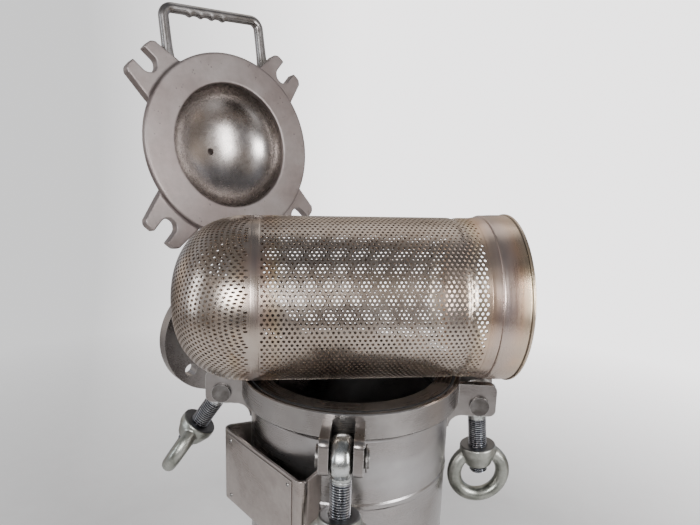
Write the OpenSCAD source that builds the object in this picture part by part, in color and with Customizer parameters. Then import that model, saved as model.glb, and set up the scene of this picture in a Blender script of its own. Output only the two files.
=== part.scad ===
// Basket strainer with a hinged, domed lid held by four swing bolts.
// The lid stands open and the basket lies across the collar.
// Origin: on the vessel axis at floor level, +Z up, right-hand clevis along +X.

/* [Vessel] */
// Height of the collar's sealing face above the floor
rim_h = 560; // [540:5:700]
// Outer radius of the shell tube
shell_r = 109.55; // [109.55:0.05:109.55]
// Wall of the shell tube and of the bottom head
shell_t = 6.3; // [4:0.1:7]
// Lower end of the shell tube, below the rim
shell_drop = 372; // [360:1:400]
// Inner depth of the bottom head's elliptical part
head_depth = 52; // [45:1:60]

/* [Collar] */
// Outer radius of the top collar
collar_r = 120; // [118:0.5:122]
// Radius of the collar's opening
mouth_r = 93; // [92:0.5:95]
// Height of the collar
collar_h = 28; // [24:1:32]
// Middle radius of the seal groove
groove_r = 113.25; // [112:0.25:114]
// Depth below the rim of the ring that the basket hangs on
seat_drop = 106; // [100:1:112]
// Inner radius of that ring
seat_r = 86.5; // [86:0.25:87]

/* [Nozzles] */
// Outer radius of both nozzle pipes
pipe_r = 30.15; // [30.15:0.05:30.15]
// Bore radius of both nozzles
bore_r = 26.5; // [25:0.25:27]
// Flange outer radius
flange_r = 82.5; // [82.5:0.5:82.5]
// Flange thickness
flange_t = 20; // [18:1:22]
// Bolt circle radius of a flange
flange_pcr = 62.5; // [62.5:0.5:62.5]
// Bolt hole radius of a flange
flange_hole_r = 9; // [9:0.5:9]
// Distance from the vessel axis to the inlet face
inlet_reach = 310; // [300:1:320]
// Depth of the inlet's centre below the rim
inlet_drop = 45; // [43:1:47]
// Distance from the vessel axis to the outlet face
outlet_reach = 200; // [190:1:230]
// Depth of the outlet's centre below the rim
outlet_drop = 300; // [280:1:310]

/* [Swing bolts] */
// Radius from the vessel axis to each pivot pin
pin_r = 141; // [141:0.5:143]
// Depth of each pivot pin below the rim
pin_drop = 31; // [30:0.5:32]
// Radius of a pivot pin
pivot_r = 8.95; // [8.9:0.05:8.95]
// Thread radius of a swing bolt
bolt_r = 10; // [10:0.5:10]
// Length from the pin to the bolt's end
bolt_l = 88; // [86:1:92]
// Distance from the pin to the seat face of the nut
nut_at = 55; // [54.5:0.5:57]
// How far front, right and back bolts hang out from plumb
hang = 5.5; // [5:0.5:8]
// How far the left bolt stays out from plumb
hang_left = 34; // [20:1:45]

/* [Lid] */
// Angle that the lid stands open
lid_open = 101.3; // [0:0.1:101.3]
// Distance from the vessel axis to the hinge pin
hinge_r = 216; // [212:1:220]
// Height of the hinge pin above the rim
hinge_up = 16; // [15:0.5:18]
// Thickness of the lid at its lugs
lid_t = 22; // [20:1:24]
// Radius of the lid's opening
lid_bore_r = 81; // [78:0.5:83]
// Half the distance between the handle's posts
handle_half = 70; // [66:1:72]
// Distance from the vessel axis to the handle's grip
handle_reach = 173; // [168:1:178]

/* [Basket] */
// Outer radius of the perforated screen
screen_r = 84.5; // [84:0.5:85]
// Outer radius of the rim ring
ring_r = 88.6; // [88.3:0.1:89.5]
// Wall of the basket
basket_t = 1.5; // [1:0.1:2]
// Turn of the lying basket about the vertical
basket_yaw = 10; // [8:0.5:12]
// Offset of the basket's axis from the vessel axis
basket_off = 19; // [15:1:22]

/* [Hidden] */

$fn = 96;
eps = 0.01;

// Colours
steel = [0.60, 0.58, 0.56];
brushed = [0.66, 0.64, 0.62];
mesh_steel = [0.58, 0.52, 0.45];
dark_steel = [0.42, 0.43, 0.46];
cast = [0.55, 0.56, 0.52];
rubber = [0.06, 0.06, 0.07];

// Vessel
shell_in = shell_r - shell_t;
head_skirt = 16;
head_top = rim_h - shell_drop;
head_tangent = head_top - head_skirt;
head_bottom = head_tangent - head_depth - shell_t;
seam_drop = 104;
seat_t = 8;
groove_w = 3.6;
groove_d = 3.2;
seal_r = 1.65;
inlet_az = 135;
outlet_az = -45;
inlet_z = rim_h - inlet_drop;
outlet_z = rim_h - outlet_drop;
drain_r = 13;
coupling_r = 20;
coupling_low = head_bottom - 30;
plug_af = 30;
plug_h = 12;

// Legs
leg_azimuths = [15, 135, 255];
leg_side = 50;
leg_t = 5;
leg_corner = 137;
leg_top = 250;
foot_t = 8;
foot_hole_at = 95;
foot_hole_r = 7;

// Swing bolts, in the order front, right, back, left
bolt_azimuths = [-90, 0, 90, 180];
bolt_swings = [hang, hang, hang, hang_left];
nut_turns = [90, 8, 90, 90];
head_sides = [-1, -1, -1, 1];
ear_gap = 22;
ear_t = 9;
ear_top = -7;
ear_low = -43;
ear_out = 159;
eye_r = 20;
eye_w = 20;
eye_bore_r = 9;
nut_bore_r = 10.05;
pin_head_r = 10.5;
pin_head_t = 3.5;
pin_tail = 5;
clip_r = 12.5;
clip_t = 1.5;
nut_ring_r = 28;
nut_bar_r = 8;
nut_ring_at = 35;
nut_hub_r = 20;
nut_hub_h = 24;

// Lid hinge
lid_gap = 0.3;
lug_low = 8;
lug_out = 157;
slot_w = 22;
hinge_bore_r = 8.05;
hinge_pin_r = 8;
knuckle_r = 16;
knuckle_half = 23;
hinge_ear_in = 24;
hinge_ear_t = 10;
heel = 30;
stop_r = 6;
stop_along = 24;
dome_rise = 38;
dome_wall = 7;
vent_r = 4.5;
vent_thread_r = 5.9;
handle_z = 15;
handle_r = 6.5;

// Nameplate bracket
bracket_az = 224;
bracket_face = 121.5;
bracket_half = 74.5;
bracket_top = -64.5;
bracket_h = 83;
sheet_t = 3;
bend_r = 8;
splay = 20;
plate_w = 116;
plate_h = 76;
plate_t = 1;
rivet_r = 2.2;

// Basket, as distances along its axis from the middle of the vessel
dome_tip = -188;
band_from = -107.5;
band_to = -99.5;
screen_to = 119;
neck_to = 129.5;
basket_end = 160.5;

// ---- Placement ----

// Stands its children on the rim plane, turned to an azimuth
module at_rim(azimuth) {
    translate([0, 0, rim_h]) rotate([0, 0, azimuth]) children();
}

// Opens its children with the lid, which is drawn closed with its handle along +X
module on_lid() {
    at_rim(outlet_az)
        translate([-hinge_r, 0, hinge_up]) rotate([0, -lid_open, 0]) translate([hinge_r, 0, -hinge_up])
            children();
}

// Hangs its children from a pivot pin, drawn along -Z below it
module on_pin(i) {
    at_rim(bolt_azimuths[i])
        translate([pin_r, 0, -pin_drop]) rotate([0, -bolt_swings[i], 0])
            children();
}

// Lays its children down on the rim, drawn upright along +Z
module on_basket() {
    translate([basket_off * sin(basket_yaw), -basket_off * cos(basket_yaw), rim_h + screen_r + lid_gap])
        rotate([0, 0, basket_yaw]) rotate([0, 90, 0]) children();
}

// A cylinder along +X
module xcyl(r, h) {
    rotate([0, 90, 0]) cylinder(r = r, h = h);
}

// A cylinder along Y, centred
module ycyl(r, h) {
    rotate([90, 0, 0]) cylinder(r = r, h = h, center = true);
}

// Points of a quarter ellipse from its rim to its crown
function quarter(a, b, z0, steps = 20) =
    [for (i = [0 : steps]) [a * cos(90 * i / steps), z0 + b * sin(90 * i / steps)]];

function reversed(list) = [for (i = [len(list) - 1 : -1 : 0]) list[i]];

// ---- Vessel ----

module shell_solid(r = shell_r) {
    translate([0, 0, head_top]) cylinder(r = r, h = rim_h - collar_h - head_top);
}

module nozzle_bore(azimuth, z, reach) {
    translate([0, 0, z]) rotate([0, 0, azimuth]) xcyl(bore_r, reach);
}

module shell_tube() {
    seam = rim_h - seam_drop;
    color(steel) difference() {
        rotate_extrude() polygon([
            [shell_in, head_top], [shell_r, head_top],
            [shell_r, seam - 4], [shell_r + 0.9, seam - 2], [shell_r + 0.9, seam + 2], [shell_r, seam + 4],
            [shell_r, rim_h - collar_h], [shell_in, rim_h - collar_h]]);
        nozzle_bore(inlet_az, inlet_z, inlet_reach);
        nozzle_bore(outlet_az, outlet_z, outlet_reach);
    }
}

module head_outer() {
    rotate_extrude() polygon(concat([[0, head_top], [shell_r, head_top]],
        [for (p = quarter(shell_r, head_depth + shell_t, 0)) [p[0], head_tangent - p[1]]]));
}

module bottom_head() {
    color(steel) difference() {
        head_outer();
        rotate_extrude() polygon(concat([[0, head_top + 1], [shell_in, head_top + 1]],
            [for (p = quarter(shell_in, head_depth, 0)) [p[0], head_tangent - p[1]]]));
        translate([0, 0, coupling_low]) cylinder(r = drain_r, h = 60);
    }
}

module top_collar() {
    color(brushed) difference() {
        translate([0, 0, rim_h]) rotate_extrude() polygon([
            [mouth_r, -1.5], [mouth_r + 1.5, 0],
            [groove_r - groove_w / 2, 0], [groove_r - groove_w / 2, -groove_d],
            [groove_r + groove_w / 2, -groove_d], [groove_r + groove_w / 2, 0],
            [collar_r - 1, 0], [collar_r, -1], [collar_r, 3 - collar_h], [collar_r - 3, -collar_h],
            [mouth_r, -collar_h]]);
        nozzle_bore(inlet_az, inlet_z, inlet_reach);
    }
}

module seat_ring() {
    color(steel) translate([0, 0, rim_h - seat_drop - seat_t]) difference() {
        cylinder(r = shell_in, h = seat_t);
        translate([0, 0, -1]) cylinder(r = seat_r, h = seat_t + 2);
    }
}

module lid_seal() {
    color(rubber) translate([0, 0, rim_h + 0.1 - seal_r])
        rotate_extrude() translate([groove_r, 0]) circle(r = seal_r, $fn = 32);
}

module nozzle(azimuth, z, reach) {
    color(steel) difference() {
        translate([0, 0, z]) rotate([0, 0, azimuth]) xcyl(pipe_r, reach - flange_t);
        cylinder(r = shell_r, h = rim_h - collar_h + eps);
        translate([0, 0, rim_h - collar_h]) cylinder(r = collar_r, h = collar_h);
        nozzle_bore(azimuth, z, reach);
    }
}

module flange(azimuth, z, reach) {
    face_r = 51;
    face_t = 3;
    color(steel) translate([0, 0, z]) rotate([0, 0, azimuth]) translate([reach - flange_t, 0, 0])
        difference() {
            union() {
                xcyl(flange_r, flange_t - face_t);
                xcyl(face_r, flange_t);
            }
            translate([-1, 0, 0]) xcyl(bore_r, flange_t + 2);
            for (a = [45 : 90 : 315])
                rotate([a, 0, 0]) translate([-1, flange_pcr, 0]) xcyl(flange_hole_r, flange_t + 2);
        }
}

module inlet_nozzle() { nozzle(inlet_az, inlet_z, inlet_reach); }
module inlet_flange() { flange(inlet_az, inlet_z, inlet_reach); }
module outlet_nozzle() { nozzle(outlet_az, outlet_z, outlet_reach); }
module outlet_flange() { flange(outlet_az, outlet_z, outlet_reach); }

module drain_coupling() {
    color(steel) difference() {
        translate([0, 0, coupling_low]) cylinder(r = coupling_r, h = 36);
        head_outer();
        translate([0, 0, coupling_low - 1]) cylinder(r = drain_r, h = 60);
    }
}

module drain_plug() {
    color(dark_steel) {
        translate([0, 0, coupling_low - plug_h]) cylinder(d = plug_af / cos(30), h = plug_h, $fn = 6);
        translate([0, 0, coupling_low - eps]) cylinder(r = drain_r - 0.05, h = 18);
    }
}

module leg(i) {
    reach = leg_side / sqrt(2);
    inner = leg_t * sqrt(2);
    color(steel) rotate([0, 0, leg_azimuths[i]]) difference() {
        translate([0, 0, foot_t]) linear_extrude(leg_top - foot_t) polygon([
            [leg_corner, 0], [leg_corner - reach, reach],
            [leg_corner - reach - inner / 2, reach - inner / 2], [leg_corner - inner, 0],
            [leg_corner - reach - inner / 2, inner / 2 - reach], [leg_corner - reach, -reach]]);
        cylinder(r = shell_r, h = leg_top + 1);
    }
}

module foot_plate(i) {
    plate = [90, 80];
    color(steel) rotate([0, 0, leg_azimuths[i]]) difference() {
        translate([73, -plate[1] / 2, 0]) cube([plate[0], plate[1], foot_t]);
        translate([foot_hole_at, 0, -1]) cylinder(r = foot_hole_r, h = foot_t + 2);
    }
}

// ---- Swing bolts and their clevises ----

// One ear in the radial plane: rounded outer corners, fillet under it at the shell
module ear_outline() {
    corner = 7;
    fillet = 14;
    difference() {
        union() {
            translate([shell_r - 2, ear_low]) square([ear_out - corner - shell_r + 2, ear_top - ear_low]);
            translate([ear_out - corner - 1, ear_low + corner]) square([corner + 1, ear_top - ear_low - 2 * corner]);
            for (z = [ear_low + corner, ear_top - corner])
                translate([ear_out - corner, z]) circle(r = corner);
            translate([shell_r - 2, ear_low - fillet]) square([fillet + 2, fillet + 1]);
        }
        translate([shell_r + fillet, ear_low - fillet]) circle(r = fillet);
        translate([pin_r, -pin_drop]) circle(r = eye_bore_r);
    }
}

module clevis(i) {
    color(steel) at_rim(bolt_azimuths[i]) difference() {
        for (side = [-1, 1])
            translate([0, side * (ear_gap + ear_t) / 2, 0]) rotate([90, 0, 0])
                linear_extrude(ear_t, center = true) ear_outline();
        translate([0, 0, -rim_h / 2]) cylinder(r = shell_r, h = rim_h / 2);
        translate([0, 0, -collar_h]) cylinder(r = collar_r, h = collar_h + 1);
    }
}

module pivot_pin(i) {
    half = ear_gap / 2 + ear_t;
    color(dark_steel) at_rim(bolt_azimuths[i]) translate([pin_r, 0, -pin_drop]) scale([1, -head_sides[i], 1]) {
        rotate([90, 0, 0]) translate([0, 0, -half - pin_tail]) cylinder(r = pivot_r, h = 2 * half + pin_tail);
        rotate([90, 0, 0]) translate([0, 0, half - eps]) cylinder(r = pin_head_r, h = pin_head_t);
    }
}

module pivot_pin_clips() {
    half = ear_gap / 2 + ear_t;
    color(dark_steel) for (i = [0 : 3])
        at_rim(bolt_azimuths[i]) translate([pin_r, -head_sides[i] * (half + 1.5 + clip_t / 2), -pin_drop])
            difference() {
                ycyl(clip_r, clip_t);
                ycyl(pivot_r + 0.05, clip_t + 1);
            }
}

module swing_bolt(i) {
    chamfer = 3;
    color(dark_steel) on_pin(i) difference() {
        union() {
            rotate([90, 0, 0]) rotate_extrude() polygon([
                [0, -eye_w / 2], [eye_r - chamfer, -eye_w / 2], [eye_r, chamfer - eye_w / 2],
                [eye_r, eye_w / 2 - chamfer], [eye_r - chamfer, eye_w / 2], [0, eye_w / 2]]);
            translate([0, 0, -bolt_l + 2]) cylinder(r = bolt_r, h = bolt_l - 12);
            translate([0, 0, -bolt_l]) cylinder(r1 = bolt_r - 2, r2 = bolt_r, h = 2);
        }
        ycyl(eye_bore_r, eye_w + 2);
    }
}

// An eye nut: a threaded hub with a lifting ring below it
module eye_nut(i) {
    color(cast) on_pin(i) rotate([0, 0, nut_turns[i]]) translate([0, 0, -nut_at]) difference() {
        union() {
            rotate_extrude() polygon([[0, 0], [nut_hub_r - 1, 0], [nut_hub_r, -1], [nut_hub_r, -9],
                [nut_hub_r - 6, -nut_hub_h], [0, -nut_hub_h]]);
            translate([0, 0, -nut_ring_at]) rotate([90, 0, 0])
                rotate_extrude() translate([nut_ring_r, 0]) circle(r = nut_bar_r, $fn = 48);
        }
        translate([-50, -50, 0]) cube([100, 100, 20]);
        translate([0, 0, -nut_hub_h - 20]) cylinder(r = nut_bore_r, h = nut_hub_h + 30);
    }
}

// ---- Lid and its hinge ----

// Side view of a body-side hinge ear, drawn with the hinge along -X
module hinge_ear(side) {
    middle = side * (hinge_ear_in + hinge_ear_t / 2);
    color(steel) at_rim(outlet_az) difference() {
        translate([0, middle, 0]) rotate([90, 0, 0]) linear_extrude(hinge_ear_t, center = true)
            difference() {
                union() {
                    polygon([[-108, -24], [-108, -3], [-126, -3], [5 - hinge_r, hinge_up + knuckle_r],
                        [-hinge_r - knuckle_r, hinge_up - 3], [-hinge_r + 6, hinge_up - knuckle_r - 9], [-140, -24]]);
                    translate([-hinge_r, hinge_up]) circle(r = knuckle_r + 1);
                }
                translate([-hinge_r, hinge_up]) circle(r = hinge_bore_r);
            }
        translate([0, 0, -collar_h]) cylinder(r = collar_r, h = collar_h);
        translate([0, 0, -inlet_drop]) rotate([0, 0, 180]) xcyl(pipe_r, inlet_reach);
    }
}

// The bar that the lid's heel leans on when the lid stands open
module hinge_stop_bar() {
    lean = knuckle_r - 9 + stop_r + lid_gap;
    color(steel) at_rim(outlet_az)
        translate([-hinge_r, 0, hinge_up]) rotate([0, -lid_open, 0]) translate([-stop_along, 0, -lean])
            ycyl(stop_r, 2 * hinge_ear_in);
}

module hinge_pin() {
    half = hinge_ear_in + hinge_ear_t;
    color(dark_steel) at_rim(outlet_az) translate([-hinge_r, 0, hinge_up]) {
        rotate([90, 0, 0]) translate([0, 0, -half - pin_tail]) cylinder(r = hinge_pin_r, h = 2 * half + pin_tail);
        rotate([90, 0, 0]) translate([0, 0, half - eps]) cylinder(r = 12, h = 5);
    }
}

module hinge_pin_clip() {
    color(dark_steel) at_rim(outlet_az)
        translate([-hinge_r, hinge_ear_in + hinge_ear_t + 1.5 + clip_t / 2, hinge_up]) difference() {
            ycyl(clip_r, clip_t);
            ycyl(hinge_bore_r, clip_t + 1);
        }
}

// Outer envelope of the lid's ring, as a solid of revolution
module ring_envelope() {
    rotate_extrude() polygon([[0, lid_gap], [collar_r - 1, lid_gap], [collar_r, lid_gap + 1],
        [collar_r, lug_low + 1], [collar_r - 14, lid_t], [0, lid_t]]);
}

// Plan of one slotted lug along +X
module lug_plan() {
    tine = 8;
    half = slot_w / 2 + 17;
    difference() {
        union() {
            polygon([[96, -36], [collar_r, -33], [lug_out - tine, -half], [lug_out - tine, half],
                [collar_r, 33], [96, 36]]);
            for (side = [-1, 1]) {
                translate([lug_out - tine, side * (half - tine)]) circle(r = tine);
                translate([lug_out - tine - 1, side > 0 ? slot_w / 2 : tine - half])
                    square([tine + 1, half - tine - slot_w / 2]);
            }
        }
        translate([pin_r, 0]) circle(r = slot_w / 2);
        translate([pin_r, -slot_w / 2]) square([40, slot_w]);
    }
}

module lid_lugs() {
    for (a = [45 : 90 : 315])
        rotate([0, 0, a]) translate([0, 0, lug_low]) linear_extrude(lid_t - lug_low) lug_plan();
}

module lid_ring() {
    color(brushed) on_lid() difference() {
        union() {
            ring_envelope();
            lid_lugs();
        }
        cylinder(r = lid_bore_r, h = lid_t);
        translate([0, 0, 10]) cylinder(r = lid_bore_r + dome_wall, h = lid_t);
    }
}

module dome_solid(r, rise) {
    rotate_extrude() polygon(concat([[0, 10], [r, 10]], quarter(r, rise, lid_t)));
}

module lid_dome() {
    color(brushed) on_lid() difference() {
        dome_solid(lid_bore_r + dome_wall, dome_rise + dome_wall);
        translate([0, 0, -eps]) dome_solid(lid_bore_r, dome_rise);
        cylinder(r = vent_r, h = 90);
    }
}

module vent_boss() {
    top = lid_t + dome_rise + dome_wall;
    color(steel) on_lid() difference() {
        translate([0, 0, top - 6]) cylinder(r = 15, h = 26);
        dome_solid(lid_bore_r + dome_wall, dome_rise + dome_wall);
        cylinder(r = vent_thread_r, h = top + 30);
    }
}

// A U-shaped handle with finger scallops along the inside of its grip
module lid_handle() {
    bend = 12;
    fingers = 5;
    pitch = 2 * (handle_half - bend) / (fingers + 1);
    color(brushed) on_lid() difference() {
        translate([0, 0, handle_z]) {
            for (side = [-1, 1]) {
                translate([80, side * handle_half, 0]) xcyl(handle_r, handle_reach - bend - 80);
                translate([handle_reach - bend, side * (handle_half - bend), 0])
                    rotate([0, 0, side > 0 ? 0 : -90])
                        rotate_extrude(angle = 90) translate([bend, 0]) circle(r = handle_r, $fn = 48);
            }
            translate([handle_reach, 0, 0]) ycyl(handle_r, 2 * (handle_half - bend));
            for (i = [1 : fingers])
                translate([handle_reach - 3.5, bend - handle_half + i * pitch, 0])
                    rotate([90, 0, 0]) sphere(r = handle_r + 1);
        }
        ring_envelope();
        lid_lugs();
    }
}

module lid_hinge_arm() {
    arm_half = 20;
    color(brushed) on_lid() difference() {
        union() {
            translate([-hinge_r, 0, hinge_up]) ycyl(knuckle_r, 2 * knuckle_half);
            translate([-hinge_r, -arm_half, lug_low]) cube([hinge_r - 90, 2 * arm_half, lid_t - lug_low]);
            translate([-hinge_r - heel, -12, hinge_up - 7]) cube([heel, 24, 14]);
        }
        translate([-hinge_r, 0, hinge_up]) ycyl(hinge_bore_r, 2 * knuckle_half + 2);
        ring_envelope();
    }
}

// ---- Nameplate ----

// Half of the bent sheet's outline at one distance from the bend's centre, from the face to the flange's end
function half_outline(r, steps = 8) =
    let (x = bracket_face - bend_r, y = bracket_half - bend_r * (1 + sin(splay)) / cos(splay), flange_l = 34)
    concat([for (i = [0 : steps]) let (a = (90 + splay) * i / steps) [x + r * cos(a), y + r * sin(a)]],
        [[x - flange_l * cos(splay) - r * sin(splay), y - flange_l * sin(splay) + r * cos(splay)]]);

function mirrored(list) = [for (p = list) [p[0], -p[1]]];

// Plan of the bent sheet, drawn with its face along +X
module bracket_plan() {
    outer = half_outline(bend_r);
    inner = half_outline(bend_r - sheet_t);
    difference() {
        polygon(concat(reversed(outer), mirrored(outer), reversed(mirrored(inner)), inner));
        circle(r = shell_r + 0.1);
    }
}

module nameplate_bracket() {
    color(steel) at_rim(bracket_az) difference() {
        translate([0, 0, bracket_top - bracket_h]) linear_extrude(bracket_h) bracket_plan();
        translate([0, 0, -seam_drop - 5]) cylinder(r = shell_r + 2.5, h = 10);
    }
}

module nameplate() {
    color(brushed) at_rim(bracket_az)
        translate([bracket_face, -plate_w / 2, bracket_top - bracket_h / 2 - plate_h / 2])
            cube([plate_t, plate_w, plate_h]);
}

module nameplate_rivets() {
    inset = 5.5;
    color(dark_steel) at_rim(bracket_az)
        for (y = [-1, 1], z = [-1, 1])
            translate([bracket_face + plate_t, y * (plate_w / 2 - inset),
                bracket_top - bracket_h / 2 + z * (plate_h / 2 - inset)])
                rotate([0, 90, 0]) cylinder(r1 = rivet_r, r2 = rivet_r - 1, h = 1.2, $fn = 32);
}

// ---- Basket ----

// A thin tube from one station along the basket's axis to another
module basket_tube(r, from, to) {
    on_basket() translate([0, 0, from]) difference() {
        cylinder(r = r, h = to - from);
        translate([0, 0, -1]) cylinder(r = r - basket_t, h = to - from + 2);
    }
}

module basket_screen() {
    color(mesh_steel) basket_tube(screen_r, band_to, screen_to);
}

module basket_dome() {
    outer = [for (p = quarter(screen_r, band_from - dome_tip, 0)) [p[0], band_from - p[1]]];
    inner = [for (p = quarter(screen_r - basket_t, band_from - dome_tip - basket_t, 0)) [p[0], band_from - p[1]]];
    color(mesh_steel) on_basket() rotate_extrude() polygon(concat(outer, reversed(inner)));
}

module basket_band() {
    color(mesh_steel) basket_tube(screen_r + 0.2, band_from, band_to);
}

module basket_neck() {
    color(brushed) basket_tube(screen_r + 0.2, screen_to, neck_to);
}

// The rim ring: a stepped shoulder, a plain hoop and a rolled lip
module basket_rim() {
    shoulder = neck_to + 3;
    lip = 2.5;
    color(brushed) on_basket() rotate_extrude() polygon([
        [screen_r - basket_t, neck_to], [screen_r + 0.2, neck_to], [ring_r, shoulder],
        [ring_r, basket_end - lip], [ring_r + 0.7, basket_end - lip + 1],
        [ring_r + 0.7, basket_end - 0.7], [ring_r, basket_end],
        [ring_r - basket_t - 0.5, basket_end], [ring_r - basket_t, shoulder + 1]]);
}

shell_tube();
bottom_head();
top_collar();
seat_ring();
lid_seal();
inlet_nozzle();
inlet_flange();
outlet_nozzle();
outlet_flange();
drain_coupling();
drain_plug();
leg(0);  // leg_1
leg(1);  // leg_2
leg(2);  // leg_3
foot_plate(0);  // foot_plate_1
foot_plate(1);  // foot_plate_2
foot_plate(2);  // foot_plate_3
clevis(0);  // clevis_front
clevis(1);  // clevis_right
clevis(2);  // clevis_back
clevis(3);  // clevis_left
pivot_pin(0);  // pivot_pin_front
pivot_pin(1);  // pivot_pin_right
pivot_pin(2);  // pivot_pin_back
pivot_pin(3);  // pivot_pin_left
pivot_pin_clips();
swing_bolt(0);  // swing_bolt_front
swing_bolt(1);  // swing_bolt_right
swing_bolt(2);  // swing_bolt_back
swing_bolt(3);  // swing_bolt_left
eye_nut(0);  // eye_nut_front
eye_nut(1);  // eye_nut_right
eye_nut(2);  // eye_nut_back
eye_nut(3);  // eye_nut_left
hinge_ear(-1);  // hinge_ear_1
hinge_ear(1);  // hinge_ear_2
hinge_stop_bar();
hinge_pin();
hinge_pin_clip();
lid_ring();
lid_dome();
lid_handle();
lid_hinge_arm();
vent_boss();
nameplate_bracket();
nameplate();
nameplate_rivets();
basket_screen();
basket_dome();
basket_band();
basket_neck();
basket_rim();
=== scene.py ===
import math

import bmesh
import bpy
import numpy as np
from mathutils import Matrix, Vector


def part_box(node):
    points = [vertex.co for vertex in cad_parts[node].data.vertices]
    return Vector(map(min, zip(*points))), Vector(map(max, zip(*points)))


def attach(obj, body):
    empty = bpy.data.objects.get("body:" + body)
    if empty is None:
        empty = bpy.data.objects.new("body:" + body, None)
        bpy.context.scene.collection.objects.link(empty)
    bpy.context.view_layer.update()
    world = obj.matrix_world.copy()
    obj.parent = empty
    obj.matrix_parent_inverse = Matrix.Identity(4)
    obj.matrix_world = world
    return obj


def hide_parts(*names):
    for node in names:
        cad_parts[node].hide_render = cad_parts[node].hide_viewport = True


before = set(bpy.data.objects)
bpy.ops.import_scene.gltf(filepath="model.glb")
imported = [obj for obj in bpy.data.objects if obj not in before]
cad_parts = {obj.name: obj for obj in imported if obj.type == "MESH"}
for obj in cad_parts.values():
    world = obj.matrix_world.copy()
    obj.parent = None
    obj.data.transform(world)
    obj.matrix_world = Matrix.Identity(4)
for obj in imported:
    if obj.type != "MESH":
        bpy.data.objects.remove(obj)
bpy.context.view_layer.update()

print("frame loaded,", len(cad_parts), "parts")

mm = 0.001
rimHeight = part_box("top_collar")[1].z


# places on the frame
def turned(axis, degrees):
    return Matrix.Rotation(math.radians(degrees), 4, axis)


def moved(x, y, z):
    return Matrix.Translation((x * mm, y * mm, z * mm))


def atRim(azimuth):
    return Matrix.Translation((0, 0, rimHeight)) @ turned("Z", azimuth)


# the lid stands open by this angle about its hinge
hinge = {"azimuth": -45, "reach": 216, "up": 16, "open": 101.3}
onLid = (atRim(hinge["azimuth"]) @ moved(-hinge["reach"], 0, hinge["up"])
         @ turned("Y", -hinge["open"]) @ moved(hinge["reach"], 0, -hinge["up"]))

# the lying basket, drawn along its own Z from dome to rim
lying = {"yaw": 10, "offset": 19, "up": 84.8}
onBasket = (moved(lying["offset"] * math.sin(math.radians(lying["yaw"])),
                  -lying["offset"] * math.cos(math.radians(lying["yaw"])), rimHeight / mm + lying["up"])
            @ turned("Z", lying["yaw"]) @ turned("Y", 90))

# swing bolts hang from their pins, drawn along -Z
pins = {"reach": 141, "drop": 31,
        "azimuth": {"front": -90, "right": 0, "back": 90, "left": 180},
        "swing": {"front": 5.5, "right": 5.5, "back": 5.5, "left": 34},
        "nutTurn": {"front": 90, "right": 8, "back": 90, "left": 90}}


def onPin(side):
    return (atRim(pins["azimuth"][side]) @ moved(pins["reach"], 0, -pins["drop"])
            @ turned("Y", -pins["swing"][side]))


# mesh tools, all in millimetres
def makePiece(name, points, faces, place, smoothAngle=32, merge=0.0):
    mesh = bpy.data.meshes.new(name)
    mesh.from_pydata([tuple(p) for p in np.asarray(points, float) * mm], [], [tuple(f) for f in faces])
    if merge:
        work = bmesh.new()
        work.from_mesh(mesh)
        bmesh.ops.remove_doubles(work, verts=work.verts, dist=merge * mm)
        bmesh.ops.dissolve_degenerate(work, edges=work.edges, dist=merge * mm)
        bmesh.ops.recalc_face_normals(work, faces=work.faces)
        work.to_mesh(mesh)
        work.free()
    mesh.validate()
    piece = bpy.data.objects.new(name, mesh)
    bpy.context.scene.collection.objects.link(piece)
    piece.matrix_world = place
    smoothPiece(piece, smoothAngle)
    return piece


def smoothPiece(piece, smoothAngle):
    piece.data.polygons.foreach_set("use_smooth", [True] * len(piece.data.polygons))
    piece.data.set_sharp_from_angle(angle=math.radians(smoothAngle))


def finishPiece(piece, body, material, slotName, *nodes):
    piece.data.materials.clear()
    piece.data.materials.append(material)
    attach(piece, body)
    if nodes:
        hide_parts(*nodes)


def lathe(profile, steps, loop=True):
    # turns a profile of (radius, height) about Z
    profile = np.asarray(profile, float)
    angle = np.arange(steps) * 2 * math.pi / steps
    count = len(profile)
    points = np.stack([profile[:, 0][None] * np.cos(angle)[:, None],
                       profile[:, 0][None] * np.sin(angle)[:, None],
                       np.repeat(profile[:, 1][None], steps, 0)], -1).reshape(-1, 3)
    faces = []
    for i in range(steps):
        j = (i + 1) % steps
        for k in range(count if loop else count - 1):
            n = (k + 1) % count
            faces.append((i * count + k, j * count + k, j * count + n, i * count + n))
    return points, faces


def softCorners(profile, radius, steps):
    # replaces each corner of a closed profile with a small arc
    profile = [Vector(p) for p in profile]
    made = []
    for i, corner in enumerate(profile):
        before = profile[i - 1] - corner
        after = profile[(i + 1) % len(profile)] - corner
        cut = min(radius, before.length * 0.45, after.length * 0.45)
        first, last = corner + before.normalized() * cut, corner + after.normalized() * cut
        for k in range(steps + 1):
            t = k / steps
            made.append(tuple(first * (1 - t) ** 2 + corner * 2 * t * (1 - t) + last * t ** 2))
    return made


def sweep(path, radii, ring):
    # a round bar along path, closed at both ends
    count = len(path)
    tangents = [(path[min(i + 1, count - 1)] - path[max(i - 1, 0)]).normalized() for i in range(count)]
    side = tangents[0].orthogonal().normalized()
    points, faces = [], []
    for i in range(count):
        side = (side - tangents[i] * side.dot(tangents[i])).normalized()
        other = tangents[i].cross(side)
        for k in range(ring):
            a = 2 * math.pi * k / ring
            points.append(path[i] + (side * math.cos(a) + other * math.sin(a)) * radii[i])
    for i in range(count - 1):
        for k in range(ring):
            n = (k + 1) % ring
            faces.append((i * ring + k, i * ring + n, (i + 1) * ring + n, (i + 1) * ring + k))
    faces.append(tuple(range(ring - 1, -1, -1)))
    faces.append(tuple(range((count - 1) * ring, count * ring)))
    return points, faces


def joinMeshes(*meshes):
    points, faces = [], []
    for more, moreFaces in meshes:
        base = len(points)
        points += [tuple(p) for p in more]
        faces += [tuple(base + i for i in f) for f in moreFaces]
    return points, faces


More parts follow.
